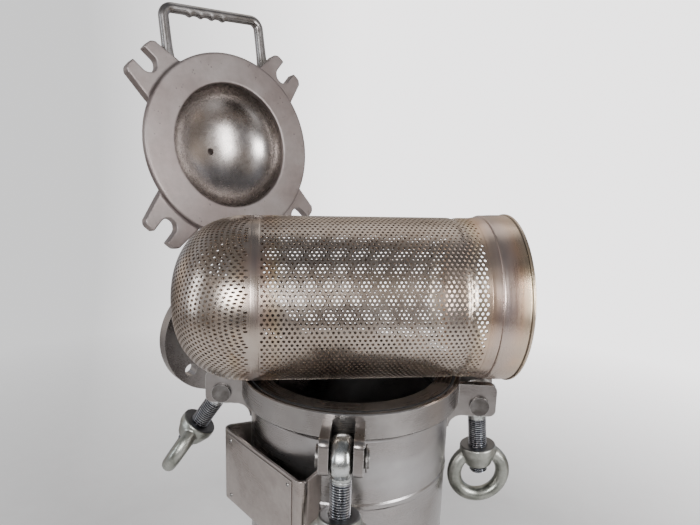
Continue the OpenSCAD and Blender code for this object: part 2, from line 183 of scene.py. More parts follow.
def copyNode(name, node, place):
    # a copy of a part's mesh, drawn in the local frame of place
    work = bmesh.new()
    work.from_mesh(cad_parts[node].data)
    work.transform(place.inverted())
    bmesh.ops.remove_doubles(work, verts=work.verts, dist=0.002 * mm)
    mesh = bpy.data.meshes.new(name)
    work.to_mesh(mesh)
    work.free()
    piece = bpy.data.objects.new(name, mesh)
    bpy.context.scene.collection.objects.link(piece)
    piece.matrix_world = place
    return piece


def applyModifiers(piece):
    graph = bpy.context.evaluated_depsgraph_get()
    made = bpy.data.meshes.new_from_object(piece.evaluated_get(graph))
    made.name = piece.name
    piece.modifiers.clear()
    piece.data = made


def castSoften(piece, voxel, passes):
    # one skin with softened edges, as a casting or forging has
    skin = piece.modifiers.new("skin", "REMESH")
    skin.mode = "VOXEL"
    skin.voxel_size = voxel * mm
    soft = piece.modifiers.new("soft", "SMOOTH")
    soft.factor = 0.5
    soft.iterations = passes
    applyModifiers(piece)
    smoothPiece(piece, 60)
    return piece


# shader tools
def setInputs(tree, node, inputs):
    for key, value in inputs.items():
        if isinstance(value, bpy.types.NodeSocket):
            tree.links.new(value, node.inputs[key])
        else:
            node.inputs[key].default_value = value


def addNode(tree, kind, inputs=None, **settings):
    node = tree.nodes.new("ShaderNode" + kind)
    for key, value in settings.items():
        setattr(node, key, value)
    setInputs(tree, node, inputs or {})
    return node


def newGroup(name, inputs, outputs):
    group = bpy.data.node_groups.new(name, "ShaderNodeTree")
    for label, kind, value in inputs:
        socket = group.interface.new_socket(name=label, in_out="INPUT", socket_type="NodeSocket" + kind)
        if value is not None:
            socket.default_value = value
    for label, kind in outputs:
        group.interface.new_socket(name=label, in_out="OUTPUT", socket_type="NodeSocket" + kind)
    return group, group.nodes.new("NodeGroupInput").outputs, group.nodes.new("NodeGroupOutput").inputs


def useGroup(tree, group, **inputs):
    node = tree.nodes.new("ShaderNodeGroup")
    node.node_tree = group
    setInputs(tree, node, inputs)
    return node.outputs


def calc(tree, operation, first, second=0.0, clamp=False):
    return addNode(tree, "Math", {0: first, 1: second}, operation=operation, use_clamp=clamp).outputs[0]


def blendColour(tree, amount, first, second, mode="MIX"):
    node = addNode(tree, "Mix", {0: amount, 6: first, 7: second}, data_type="RGBA", blend_type=mode)
    return node.outputs[2]


def spread(tree, value, fromLow, fromHigh, toLow=0.0, toHigh=1.0):
    node = addNode(tree, "MapRange", {"Value": value, "From Min": fromLow, "From Max": fromHigh,
                                      "To Min": toLow, "To Max": toHigh}, clamp=True)
    return node.outputs[0]


def greyColour(tree, value):
    return addNode(tree, "CombineColor", {0: value, 1: value, 2: value}).outputs[0]


def makeMottle():
    # broad, cloudy changes of tone, with a finer layer inside them
    tree, given, result = newGroup("mottle", [("Vector", "Vector", None), ("Scale", "Float", 12.0)],
                                   [("Broad", "Float"), ("Fine", "Float")])
    broad = addNode(tree, "TexNoise", {"Vector": given["Vector"], "Scale": given["Scale"], "Detail": 3.0,
                                       "Roughness": 0.55, "Distortion": 0.6})
    fineScale = calc(tree, "MULTIPLY", given["Scale"], 7.0)
    fine = addNode(tree, "TexNoise", {"Vector": given["Vector"], "Scale": fineScale, "Detail": 5.0,
                                      "Roughness": 0.65})
    tree.links.new(spread(tree, broad.outputs[0], 0.32, 0.68), result["Broad"])
    tree.links.new(spread(tree, fine.outputs[0], 0.3, 0.7), result["Fine"])
    return tree


def makeBrushed():
    # long thin lines; Along holds the scale along each axis, low where the lines run
    tree, given, result = newGroup("brushedGrain", [("Vector", "Vector", None), ("Along", "Vector", (20, 900, 900))],
                                   [("Grain", "Float")])
    stretched = addNode(tree, "VectorMath", {0: given["Vector"], 1: given["Along"]}, operation="MULTIPLY").outputs[0]
    grain = addNode(tree, "TexNoise", {"Vector": stretched, "Scale": 1.0, "Detail": 4.0, "Roughness": 0.7})
    tree.links.new(grain.outputs[0], result["Grain"])
    return tree


def makeTurned():
    # rings left by a lathe about the Z axis of the vector
    tree, given, result = newGroup("turnedGrain", [("Vector", "Vector", None), ("Rings", "Float", 900.0)],
                                   [("Grain", "Float"), ("Radius", "Float")])
    parts = addNode(tree, "SeparateXYZ", {0: given["Vector"]}).outputs
    square = calc(tree, "ADD", calc(tree, "MULTIPLY", parts[0], parts[0]), calc(tree, "MULTIPLY", parts[1], parts[1]))
    radius = calc(tree, "SQRT", square)
    angle = calc(tree, "ARCTAN2", parts[1], parts[0])
    where = addNode(tree, "CombineXYZ", {0: calc(tree, "MULTIPLY", radius, given["Rings"]),
                                         1: calc(tree, "MULTIPLY", calc(tree, "ABSOLUTE", angle), 1.5),
                                         2: calc(tree, "MULTIPLY", parts[2], given["Rings"])}).outputs[0]
    grain = addNode(tree, "TexNoise", {"Vector": where, "Scale": 1.0, "Detail": 3.0, "Roughness": 0.7})
    tree.links.new(grain.outputs[0], result["Grain"])
    tree.links.new(radius, result["Radius"])
    return tree


def makeCastSkin():
    # the grainy skin of a blasted casting, with a few pits
    tree, given, result = newGroup("castSkin", [("Vector", "Vector", None), ("Scale", "Float", 700.0)],
                                   [("Height", "Float"), ("Pits", "Float")])
    grit = addNode(tree, "TexNoise", {"Vector": given["Vector"], "Scale": given["Scale"], "Detail": 4.0,
                                      "Roughness": 0.6})
    pitScale = calc(tree, "MULTIPLY", given["Scale"], 0.22)
    cells = addNode(tree, "TexVoronoi", {"Vector": given["Vector"], "Scale": pitScale})
    chanceScale = calc(tree, "MULTIPLY", given["Scale"], 0.06)
    chance = addNode(tree, "TexNoise", {"Vector": given["Vector"], "Scale": chanceScale})
    pits = calc(tree, "MULTIPLY", spread(tree, cells.outputs["Distance"], 0.26, 0.1),
                spread(tree, chance.outputs[0], 0.56, 0.64))
    height = calc(tree, "SUBTRACT", grit.outputs[0], calc(tree, "MULTIPLY", pits, 0.8))
    tree.links.new(height, result["Height"])
    tree.links.new(pits, result["Pits"])
    return tree


def makeEdgeWear():
    # a mask along outer edges, where handling brightens the metal
    tree, given, result = newGroup("edgeWear", [("Radius", "Float", 0.0012)], [("Mask", "Float")])
    rounded = addNode(tree, "Bevel", {"Radius": given["Radius"]}, samples=4)
    plain = addNode(tree, "NewGeometry")
    dot = addNode(tree, "VectorMath", {0: rounded.outputs[0], 1: plain.outputs["Normal"]}, operation="DOT_PRODUCT")
    tree.links.new(spread(tree, dot.outputs["Value"], 0.995, 0.9), result["Mask"])
    return tree


def makeHeatTint():
    # straw, copper and blue rings beside a weld; Distance is 0 at the weld and 1 where the tint ends
    tree, given, result = newGroup("heatTint", [("Base", "Color", (0.5, 0.5, 0.5, 1)), ("Distance", "Float", 1.0),
                                                ("Patches", "Float", 0.5), ("Strength", "Float", 1.0)],
                                   [("Color", "Color")])
    ramp = addNode(tree, "ValToRGB", {0: given["Distance"]})
    stops = ramp.color_ramp.elements
    stops[0].position, stops[0].color = 0.0, (0.62, 0.56, 0.60, 1)
    stops[1].position, stops[1].color = 1.0, (1, 1, 1, 1)
    for position, colour in ((0.18, (0.80, 0.66, 0.64, 1)), (0.42, (0.95, 0.70, 0.52, 1)),
                             (0.72, (0.98, 0.88, 0.66, 1))):
        stops.new(position).color = colour
    amount = calc(tree, "MULTIPLY", given["Patches"], given["Strength"], clamp=True)
    tree.links.new(blendColour(tree, amount, given["Base"],
                               blendColour(tree, 1.0, given["Base"], ramp.outputs[0], "MULTIPLY")), result["Color"])
    return tree


mottle, brushedGrain, turnedGrain = makeMottle(), makeBrushed(), makeTurned()
castSkin, edgeWear, heatTint = makeCastSkin(), makeEdgeWear(), makeHeatTint()
print("shader groups made")


def newMaterial(name, metallic=1.0, roughness=0.4, **fixed):
    material = bpy.data.materials.new(name)
    material.use_nodes = True
    tree = material.node_tree
    shader = tree.nodes["Principled BSDF"]
    shader.inputs["Metallic"].default_value = metallic
    shader.inputs["Roughness"].default_value = roughness
    for key, value in fixed.items():
        shader.inputs[key].default_value = value
    return material, tree, shader


def objectVector(tree, place=None):
    # object coordinates, turned into the local frame of place when it is given
    vector = addNode(tree, "TexCoord").outputs["Object"]
    if place is None:
        return vector
    back = place.inverted()
    node = addNode(tree, "Mapping", {"Vector": vector}, vector_type="POINT")
    node.inputs["Location"].default_value = back.to_translation()
    node.inputs["Rotation"].default_value = back.to_euler("XYZ")
    return node.outputs[0]


def addBump(tree, shader, height, depth, strength=1.0):
    bump = addNode(tree, "Bump", {"Height": height, "Distance": depth, "Strength": strength})
    tree.links.new(bump.outputs[0], shader.inputs["Normal"])


def steelMaterial(name, look, place=None):
    # brushed, turned or cast steel: two tones mixed by clouds, grain in roughness and bump, bright edges
    material, tree, shader = newMaterial(name, roughness=look["rough"])
    vector = objectVector(tree, place)
    clouds = useGroup(tree, mottle, Vector=vector, Scale=look["clouds"])
    colour = blendColour(tree, clouds["Broad"], look["low"], look["high"])
    fine = spread(tree, clouds["Fine"], 0.0, 1.0, 1 - look["speck"], 1 + look["speck"])
    colour = blendColour(tree, 1.0, colour, greyColour(tree, fine), "MULTIPLY")
    if look["grain"] == "turned":
        grain = useGroup(tree, turnedGrain, Vector=vector, Rings=look["rings"])["Grain"]
    elif look["grain"] == "brushed":
        grain = useGroup(tree, brushedGrain, Vector=vector, Along=look["along"])["Grain"]
    else:
        skin = useGroup(tree, castSkin, Vector=vector, Scale=look["skin"])
        grain = skin["Height"]
        colour = blendColour(tree, skin["Pits"], colour, tuple(c * 0.45 for c in look["low"][:3]) + (1,))
    if look.get("edge"):
        mask = useGroup(tree, edgeWear, Radius=look.get("edgeRadius", 0.0012))["Mask"]
        amount = calc(tree, "MULTIPLY", mask, look["edge"])
        colour = blendColour(tree, amount, colour, (0.86, 0.85, 0.83, 1))
    tree.links.new(colour, shader.inputs["Base Color"])
    varied = calc(tree, "ADD", spread(tree, grain, 0.25, 0.75, -look["roughGrain"], look["roughGrain"]),
                  spread(tree, clouds["Broad"], 0, 1, look["rough"] - look["roughClouds"],
                         look["rough"] + look["roughClouds"]), clamp=True)
    tree.links.new(varied, shader.inputs["Roughness"])
    addBump(tree, shader, grain, look["depth"])
    return material


looks = {
    "shell": {"grain": "brushed", "along": (40, 40, 1600),
              "low": (0.2, 0.172, 0.155, 1), "high": (0.44, 0.43, 0.435, 1),
              "rough": 0.29, "roughGrain": 0.05, "roughClouds": 0.09, "depth": 0.00003,
              "clouds": 7.0, "speck": 0.06},
    "collar": {"grain": "turned", "rings": 1500.0, "low": (0.22, 0.2, 0.19, 1), "high": (0.34, 0.32, 0.31, 1),
               "rough": 0.27, "roughGrain": 0.05, "roughClouds": 0.07, "depth": 0.00002,
               "clouds": 13.0, "speck": 0.05, "edge": 0.5},
    "lidCast": {"grain": "cast", "skin": 900.0, "low": (0.235, 0.195, 0.185, 1), "high": (0.315, 0.28, 0.268, 1),
                "rough": 0.48, "roughGrain": 0.06, "roughClouds": 0.05, "depth": 0.00006,
                "clouds": 16.0, "speck": 0.07, "edge": 0.45},
    "plate": {"grain": "brushed", "along": (60, 60, 1800),
              "low": (0.2, 0.178, 0.168, 1), "high": (0.31, 0.288, 0.278, 1),
              "rough": 0.31, "roughGrain": 0.06, "roughClouds": 0.05, "depth": 0.00002,
              "clouds": 20.0, "speck": 0.06, "edge": 0.5},
    "tag": {"grain": "brushed", "along": (60, 60, 1500), "low": (0.29, 0.25, 0.23, 1), "high": (0.41, 0.365, 0.34, 1),
            "rough": 0.33, "roughGrain": 0.06, "roughClouds": 0.06, "depth": 0.00002,
            "clouds": 24.0, "speck": 0.08, "edge": 0.5},
    "nutCast": {"grain": "cast", "skin": 650.0, "low": (0.2, 0.205, 0.18, 1), "high": (0.4, 0.4, 0.365, 1),
                "rough": 0.38, "roughGrain": 0.07, "roughClouds": 0.07, "depth": 0.00009,
                "clouds": 40.0, "speck": 0.14, "edge": 0.3},
    "bolt": {"grain": "cast", "skin": 1200.0, "low": (0.17, 0.175, 0.195, 1), "high": (0.33, 0.335, 0.35, 1),
             "rough": 0.3, "roughGrain": 0.05, "roughClouds": 0.06, "depth": 0.00001,
             "clouds": 45.0, "speck": 0.12, "edge": 0.45, "edgeRadius": 0.0006},
    "pin": {"grain": "turned", "rings": 2500.0, "low": (0.1, 0.09, 0.085, 1), "high": (0.19, 0.18, 0.172, 1),
            "rough": 0.36, "roughGrain": 0.06, "roughClouds": 0.05, "depth": 0.00003,
            "clouds": 60.0, "speck": 0.1, "edge": 0.5, "edgeRadius": 0.0008},
    "handle": {"grain": "cast", "skin": 900.0, "low": (0.20, 0.185, 0.175, 1), "high": (0.32, 0.31, 0.31, 1),
               "rough": 0.34, "roughGrain": 0.06, "roughClouds": 0.06, "depth": 0.00004,
               "clouds": 26.0, "speck": 0.08},
    "forgedEye": {"grain": "cast", "skin": 1000.0, "low": (0.36, 0.37, 0.345, 1), "high": (0.55, 0.56, 0.56, 1),
                  "rough": 0.27, "roughGrain": 0.06, "roughClouds": 0.07, "depth": 0.00005,
                  "clouds": 55.0, "speck": 0.1}}
steel = {name: steelMaterial(name + "Steel", look) for name, look in looks.items()}
# the vent boss is drawn in the frame's own axes, so its grain is turned to the lid
bossSteel = steelMaterial("lidCastFixed", looks["lidCast"], onLid)
print("steels made")


def makeRubber():
    material, tree, shader = newMaterial("sealRubber", metallic=0.0, roughness=0.6)
    clouds = useGroup(tree, mottle, Vector=objectVector(tree), Scale=60.0)
    tree.links.new(blendColour(tree, clouds["Fine"], (0.012, 0.012, 0.013, 1), (0.03, 0.03, 0.032, 1)),
                   shader.inputs["Base Color"])
    tree.links.new(spread(tree, clouds["Broad"], 0, 1, 0.5, 0.7), shader.inputs["Roughness"])
    addBump(tree, shader, clouds["Fine"], 0.00003)
    return material


rubber = makeRubber()


# basket: real holes through the screen and the dome
basket = {"radius": 84.5, "wall": 1.5, "pitch": 5.04, "hole": 1.54, "rows": 122, "from": -99.5, "to": 119.0,
          "grooveAt": 101.0, "grooveDepth": 1.5, "grooveWidth": 3.2, "firstRow": 2.6, "openFrom": 0.5, "openTo": 0.8,
          "openEdge": 0.7, "domeTip": -188.0, "bandFrom": -107.5, "squareness": 2.35, "sections": 3}

# corners and edge middles of one cell, in quarters of the pitch and sixths of the row height
hexCell = np.array([(2, 0), (2, 2), (1, 3), (0, 4), (-1, 3), (-2, 2),
                    (-2, 0), (-2, -2), (-1, -3), (0, -4), (1, -3), (2, -2)])


def perforate(centres, pitch, rise, hole, clampFlat, isOpen):
    # a flat sheet of hexagon cells, each with a round hole; walls are the edges of the holes
    outline = hexCell * np.array([pitch / 4, rise / 6])
    sides = len(hexCell)
    holeRing = [hole * np.array([math.cos(a), math.sin(a)]) for a in np.radians(np.arange(sides) * 360.0 / sides)]
    flat, faces, walls, index = [], [], [], {}

    def cornerIndex(point):
        point = clampFlat(point)
        key = (round(point[0] * 2000), round(point[1] * 2000))  # the same corner, to half a micron
        if key not in index:
            index[key] = len(flat)
            flat.append(point)
        return index[key]

    for centre in centres:
        ring = [cornerIndex(centre + o) for o in outline]
        if isOpen(centre):
            base = len(flat)
            flat.extend(centre + o for o in holeRing)
            for k in range(sides):
                n = (k + 1) % sides
                if ring[k] == ring[n]:
                    faces.append((ring[k], base + n, base + k))
                else:
                    faces.append((ring[k], ring[n], base + n, base + k))
                walls.append((base + k, base + n))
        else:
            loop = [r for k, r in enumerate(ring) if r != ring[k - 1]]
            if len(set(loop)) > 2 and len(set(loop)) == len(loop):
                faces.append(tuple(loop))
    return np.array(flat), faces, walls


def skinned(name, flat, faces, walls, toOutside, toInside):
    # two skins of the flat sheet, joined through the holes and round the border
    count = len(flat)
    used = {(f[k], f[(k + 1) % len(f)]): True for f in faces for k in range(len(f))}
    wallEdges = set(walls)
    border = [(a, b) for a, b in used if (b, a) not in used and (a, b) not in wallEdges and (b, a) not in wallEdges]
    points = np.vstack([toOutside(flat), toInside(flat)])
    allFaces = list(faces) + [tuple(i + count for i in reversed(f)) for f in faces]
    allFaces += [(a, b, b + count, a + count) for a, b in walls]
    allFaces += [(b, a, a + count, b + count) for a, b in border]
    return makePiece(name, points, allFaces, onBasket, smoothAngle=40, merge=0.004)


def buildScreen():
    b = basket
    rise = 2 * math.pi * b["radius"] / b["rows"]
    start, end = b["from"], b["to"]
    columns = int((end - start) / b["pitch"]) + 2
    cuts = [start + (end - start) * i / b["sections"] for i in range(b["sections"] + 1)]
    cuts[0], cuts[-1] = -math.inf, math.inf

    def toSkin(depth):
        def place(flat):
            groove = b["grooveDepth"] * np.exp(-((flat[:, 0] - b["grooveAt"]) / b["grooveWidth"]) ** 2)
            r = b["radius"] - groove - depth
            a = flat[:, 1] / b["radius"]
            return np.stack([r * np.cos(a), r * np.sin(a), flat[:, 0]], -1)
        return place

    def clampFlat(point):
        return np.array([min(max(point[0], start), end), point[1]])

    def isOpen(centre):
        return start + b["hole"] + b["openFrom"] < centre[0] < end - b["hole"] - b["openTo"]

    made = []
    for section in range(b["sections"]):
        centres = []
        for j in range(b["rows"]):
            for i in range(-1, columns):
                along = start + b["firstRow"] + (i + (j % 2) / 2) * b["pitch"]
                if cuts[section] <= along < cuts[section + 1]:
                    centres.append(np.array([along, j * rise]))
        sheet = perforate(centres, b["pitch"], rise, b["hole"], clampFlat, isOpen)
        made.append(skinned(f"basketScreen{section + 1}", *sheet, toSkin(0.0), toSkin(b["wall"])))
    return made


def buildBasketDome():
    b = basket
    depth = b["bandFrom"] - b["domeTip"]
    # a flat blank is drawn into the dome without changing its area, so its holes stretch toward the band
    t = np.linspace(0, math.pi / 2, 1200)
    power = 2 / b["squareness"]
    radius, height = b["radius"] * np.sin(t) ** power, b["bandFrom"] - depth * np.cos(t) ** power
    stepLength = np.hypot(np.diff(radius), np.diff(height))
    area = np.concatenate([[0], np.cumsum(math.pi * (radius[1:] + radius[:-1]) * stepLength)])
    blank = np.sqrt(area / math.pi)
    slopeR, slopeZ = np.gradient(height), np.gradient(radius)
    slopeR[0], slopeZ[-1] = 0.0, 0.0
    length = np.hypot(slopeR, slopeZ)
    normalR, normalZ = slopeR / length, -slopeZ / length
    edge = blank[-1]
    rise = b["pitch"] * math.sqrt(3) / 2

    def toSkin(inward):
        def place(flat):
            rho = np.hypot(flat[:, 0], flat[:, 1])
            a = np.arctan2(flat[:, 1], flat[:, 0])
            r = np.interp(rho, blank, radius - normalR * inward)
            z = np.interp(rho, blank, height - normalZ * inward)
            return np.stack([r * np.cos(a), r * np.sin(a), z], -1)
        return place

    def clampFlat(point):
        rho = math.hypot(*point)
        return point * (edge / rho) if rho > edge else point

    def isOpen(centre):
        return math.hypot(*centre) < edge - b["hole"] - b["openEdge"]

    reach = int(edge / rise) + 2
    centres = []
    for j in range(-reach, reach + 1):
        for i in range(-reach, reach + 1):
            centre = np.array([(i + (j % 2) / 2) * b["pitch"], j * rise])
            if math.hypot(*centre) < edge + b["pitch"] * 0.6:
                centres.append(centre)
    sheet = perforate(centres, b["pitch"], rise, b["hole"], clampFlat, isOpen)
    return skinned("basketDome", *sheet, toSkin(0.0), toSkin(b["wall"]))


basketLook = {"low": (0.33, 0.27, 0.225, 1), "high": (0.47, 0.41, 0.36, 1), "clouds": 13.0, "patches": 22.0,
              "rings": 1100.0, "seamAt": (basket["bandFrom"] + basket["from"]) / 2, "seamTint": 26.0, "rimAt": 133.0,
              "rimTint": 34.0, "tint": 0.9,
              "paintedLightLiftFrom": 100.0, "paintedLightLiftTo": 125.0, "paintedLightLift": 1.36, "paintedGrooveShade": 0.95,
              "paintedGrooveShadeAt": (156.4, 156.9, 157.4, 157.9)}


def basketMaterial():
    # brownish stainless, with heat tints near the band and at the rim, painted shade in the groove under the lip, and
    # painted light that lifts the tone from the groove to the rim
    look = basketLook
    material, tree, shader = newMaterial("basketSteel", roughness=0.3)
    vector = objectVector(tree)
    along = addNode(tree, "SeparateXYZ", {0: vector}).outputs[2]
    clouds = useGroup(tree, mottle, Vector=vector, Scale=look["clouds"])
    patches = useGroup(tree, mottle, Vector=vector, Scale=look["patches"])
    grain = useGroup(tree, turnedGrain, Vector=vector, Rings=look["rings"])["Grain"]
    colour = blendColour(tree, clouds["Broad"], look["low"], look["high"])
    for place, width, spots in ((look["seamAt"], look["seamTint"], patches),
                                (look["rimAt"], look["rimTint"], clouds)):
        away = calc(tree, "ABSOLUTE", calc(tree, "SUBTRACT", along, place * mm))
        away = calc(tree, "MINIMUM", calc(tree, "MULTIPLY", away, 1 / (width * mm)), 1.0)
        colour = useGroup(tree, heatTint, Base=colour, Distance=away, Patches=spots["Broad"],
                          Strength=look["tint"])["Color"]
    # painted shade: a dark line in the groove under the lip, where shade falls
    near, grooveShadeFull, still, past = (place * mm for place in look["paintedGrooveShadeAt"])
    paintedGrooveShade = calc(tree, "MULTIPLY", spread(tree, along, near, grooveShadeFull), spread(tree, along, still, past, 1, 0))
    # painted light: the neck and hoop end is painted lighter, standing in for light falling on it
    paintedLightLift = spread(tree, along, look["paintedLightLiftFrom"] * mm, look["paintedLightLiftTo"] * mm, 1.0, look["paintedLightLift"])
    gain = greyColour(tree, calc(tree, "SUBTRACT", paintedLightLift, calc(tree, "MULTIPLY", paintedGrooveShade, look["paintedGrooveShade"])))
    tree.links.new(blendColour(tree, 1.0, colour, gain, "MULTIPLY"), shader.inputs["Base Color"])
    tree.links.new(calc(tree, "ADD", spread(tree, grain, 0.3, 0.7, -0.03, 0.03),
                        spread(tree, patches["Broad"], 0, 1, 0.24, 0.34)), shader.inputs["Roughness"])
    addBump(tree, shader, grain, 0.00002)
    return material


basketSteel = basketMaterial()
for piece in buildScreen():
    finishPiece(piece, "basket", basketSteel, "basket_steel", "basket_screen")
finishPiece(buildBasketDome(), "basket", basketSteel, "basket_steel", "basket_dome")
print("basket perforated")

rim = {"neckFrom": basket["to"], "creaseAt": 129.0, "radius": 88.6, "end": 160.5}


def buildBasketRings():
    r, wall, across = rim, basket["wall"], basket["radius"]
    first, last = basket["bandFrom"], basket["from"]
    band = [(across - wall, first), (across, first - 0.3), (across + 0.15, first + 1),
            (across + 0.2, (first + last) / 2), (across + 0.15, last - 1), (across, last + 0.3),
            (across - wall, last)]
    points, faces = lathe(softCorners(band, 0.3, 2), 256)
    piece = makePiece("basketBand", points, faces, onBasket)
    finishPiece(piece, "basket", basketSteel, "basket_steel", "basket_band")
    start, crease = r["neckFrom"], r["creaseAt"]
    edge, end = r["radius"], r["end"]
    neck = [(across, start - 0.1), (across + 0.25, start + 3), (across + 0.9, start + 6.5),
            (across + 1.5, crease - 0.4), (across + 1.45, crease + 0.5), (across - 0.2, crease + 0.5),
            (across - 0.8, start + 6), (across - wall, start - 0.1)]
    points, faces = lathe(softCorners(neck, 1.2, 4), 256)
    piece = makePiece("basketNeck", points, faces, onBasket)
    finishPiece(piece, "basket", basketSteel, "basket_steel", "basket_neck")
    # the hoop swells a little toward its end, which is rolled into a thin lip
    hoop = [(across + 1.3, crease + 0.2), (edge - 1.6, crease + 0.9), (edge - 1.15, crease + 2.2),
            (edge - 1.2, crease + 5), (edge - 0.7, crease + 14), (edge - 0.5, end - 4.4), (edge - 1.1, end - 3.4),
            (edge + 0.3, end - 2.6), (edge + 0.66, end - 1.4), (edge + 0.4, end - 0.3), (edge - 0.5, end),
            (edge - 1.3, end - 0.6), (edge - 1.9, end - 8), (edge - 2.6, crease + 6), (across - 0.4, crease + 0.2)]
    points, faces = lathe(softCorners(hoop, 0.5, 3), 288)
    piece = makePiece("basketRim", points, faces, onBasket)
    finishPiece(piece, "basket", basketSteel, "basket_steel", "basket_rim")


buildBasketRings()
print("basket rings made")


# lid
lid = {"voxel": 1.15, "passes": 4, "bore": 81.0, "outerFrom": 22.0, "domeFrom": 7.5, "apexIn": 60.0, "apexOut": 67.0,
       "outer": 88.0, "skirtTop": 12.0, "vent": 4.5}


def spunMaterial():
    # the spun inside of the dome: fine rings that pull the light into fans
    material, tree, shader = newMaterial("spunDome", roughness=0.3, Anisotropic=0.25)
    vector = objectVector(tree)
    grain = useGroup(tree, turnedGrain, Vector=vector, Rings=1400.0)
    clouds = useGroup(tree, mottle, Vector=vector, Scale=15.0)
    colour = blendColour(tree, clouds["Broad"], (0.31, 0.275, 0.255, 1), (0.38, 0.35, 0.335, 1))
    tree.links.new(colour, shader.inputs["Base Color"])
    tree.links.new(calc(tree, "ADD", spread(tree, grain["Grain"], 0.3, 0.7, -0.03, 0.03),
                        spread(tree, clouds["Fine"], 0, 1, 0.23, 0.31)), shader.inputs["Roughness"])
    tangent = addNode(tree, "Tangent", direction_type="RADIAL", axis="Z")
    tree.links.new(tangent.outputs[0], shader.inputs["Tangent"])
    addBump(tree, shader, grain["Grain"], 0.000012)
    return material


def buildLid():
    ring = castSoften(copyNode("lidRing", "lid_ring", onLid), lid["voxel"], lid["passes"])
    finishPiece(ring, "lid", steel["lidCast"], "lid_steel", "lid_ring")
    arc = [math.pi / 2 * i / 40 for i in range(41)]

    def bowl(radius, start, apex):
        return [(radius * math.cos(a), start + (apex - start) * math.sin(a)) for a in arc
                if radius * math.cos(a) > lid["vent"] + 0.6]  # up to the vent's rounded edge

    ventEdge = [(lid["vent"] + 0.5, lid["apexIn"] - 0.1), (lid["vent"], lid["apexIn"] + 0.4),
                (lid["vent"], lid["apexOut"])]
    skirt = [(lid["outer"], lid["skirtTop"]), (lid["outer"] - 1, lid["domeFrom"])]
    profile = (bowl(lid["bore"], lid["domeFrom"], lid["apexIn"]) + ventEdge
               + bowl(lid["outer"], lid["outerFrom"], lid["apexOut"])[::-1] + skirt)
    points, faces = lathe(profile, 224)
    dome = makePiece("lidDome", points, faces, onLid, smoothAngle=40)
    finishPiece(dome, "lid", spunMaterial(), "lid_steel", "lid_dome")


buildLid()
print("lid cast")

handle = {"half": 70.0, "reach": 173.0, "height": 15.0, "radius": 6.5, "bend": 12.0, "root": 96.0,
          "flare": 7.5, "flareLength": 7.5, "flareFrom": 118.0, "lowest": 8.2, "highest": 22.0, "ring": 28,
          "bumpDepth": 2.6, "bumpWidth": 3.6, "bumps": 4, "bumpFrom": -34.0, "bumpPitch": 16.0}


def buildHandle():
    h = handle
    straight, grip = h["reach"] - h["bend"], h["half"] - h["bend"]
    path = [(h["root"] + (straight - h["root"]) * i / 50, -h["half"]) for i in range(50)]
    for i in range(13):
        a = math.radians(-90 + 90 * i / 12)
        path.append((straight + h["bend"] * math.cos(a), -grip + h["bend"] * math.sin(a)))
    post = len(path)
    path += [(h["reach"], -grip + 2 * grip * i / 110) for i in range(1, 110)]
    path += [(x, -y) for x, y in path[:post][::-1]]
    path = [Vector((x, y, h["height"])) for x, y in path]
    radii = []
    for p in path:
        # the posts widen into the lid
        away = max(math.hypot(p.x, p.y) - h["flareFrom"], -4) / h["flareLength"]
        radii.append(h["radius"] + h["flare"] * math.exp(-away) * (p.x < straight))
    points, faces = sweep(path, radii, ring=h["ring"])
    points = [Vector(p) for p in points]
    for k, p in enumerate(points):
        centre = path[k // h["ring"]]
        # finger bumps on the side that faces the lid
        if abs(centre.x - h["reach"]) < 1e-6:
            wave = sum(math.exp(-((centre.y - h["bumpFrom"] - n * h["bumpPitch"]) / h["bumpWidth"]) ** 2)
                       for n in range(h["bumps"]))
            inward = max(0.0, (centre.x - p.x) / h["radius"])
            p.x -= h["bumpDepth"] * wave * inward ** 1.5
        p.z = min(max(p.z, h["lowest"]), h["highest"])
    piece = makePiece("lidHandle", points, faces, onLid, smoothAngle=50)
    finishPiece(piece, "lid", steel["handle"], "lid_steel", "lid_handle")


buildHandle()
arm = castSoften(copyNode("lidHingeArm", "lid_hinge_arm", onLid), voxel=0.9, passes=4)
finishPiece(arm, "lid", steel["lidCast"], "lid_steel", "lid_hinge_arm")
print("handle and hinge arm made")


# swing bolts and eye nuts
bolt = {"radius": 10.0, "root": 8.3, "pitch": 2.5, "eyeRadius": 20.0, "eyeHalf": 10.8, "bore": 9.05, "end": -88.0,
        "threadFrom": -21.0, "stub": -24.0, "stubSteps": 64,
        "roundness": 3.2, "chamfer": 2.2, "voxel": 0.6, "passes": 5}


def threadMesh(b, steps=48, perTurn=8):
    rows = int((b["threadFrom"] - b["end"]) / b["pitch"] * perTurn)
    points, faces = [], []
    for j in range(rows + 1):
        z = b["threadFrom"] + (b["end"] - b["threadFrom"]) * j / rows
        for i in range(steps):
            a = 2 * math.pi * i / steps
            phase = (z / b["pitch"] + i / steps) % 1.0
            crest = min(1.0, max(0.0, (1 - abs(phase * 2 - 1)) * 1.35 - 0.12))
            r = b["root"] + (b["radius"] - b["root"]) * crest
            r = min(r, b["radius"] - b["chamfer"] + max(0.0, z - b["end"]) * 1.1)
            points.append((r * math.cos(a), r * math.sin(a), z))
    for j in range(rows):
        for i in range(steps):
            n = (i + 1) % steps
            faces.append((j * steps + i, (j + 1) * steps + i, (j + 1) * steps + n, j * steps + n))
    faces.append(tuple(range(steps - 1, -1, -1)))
    faces.append(tuple(range(rows * steps, (rows + 1) * steps)))
    return points, faces


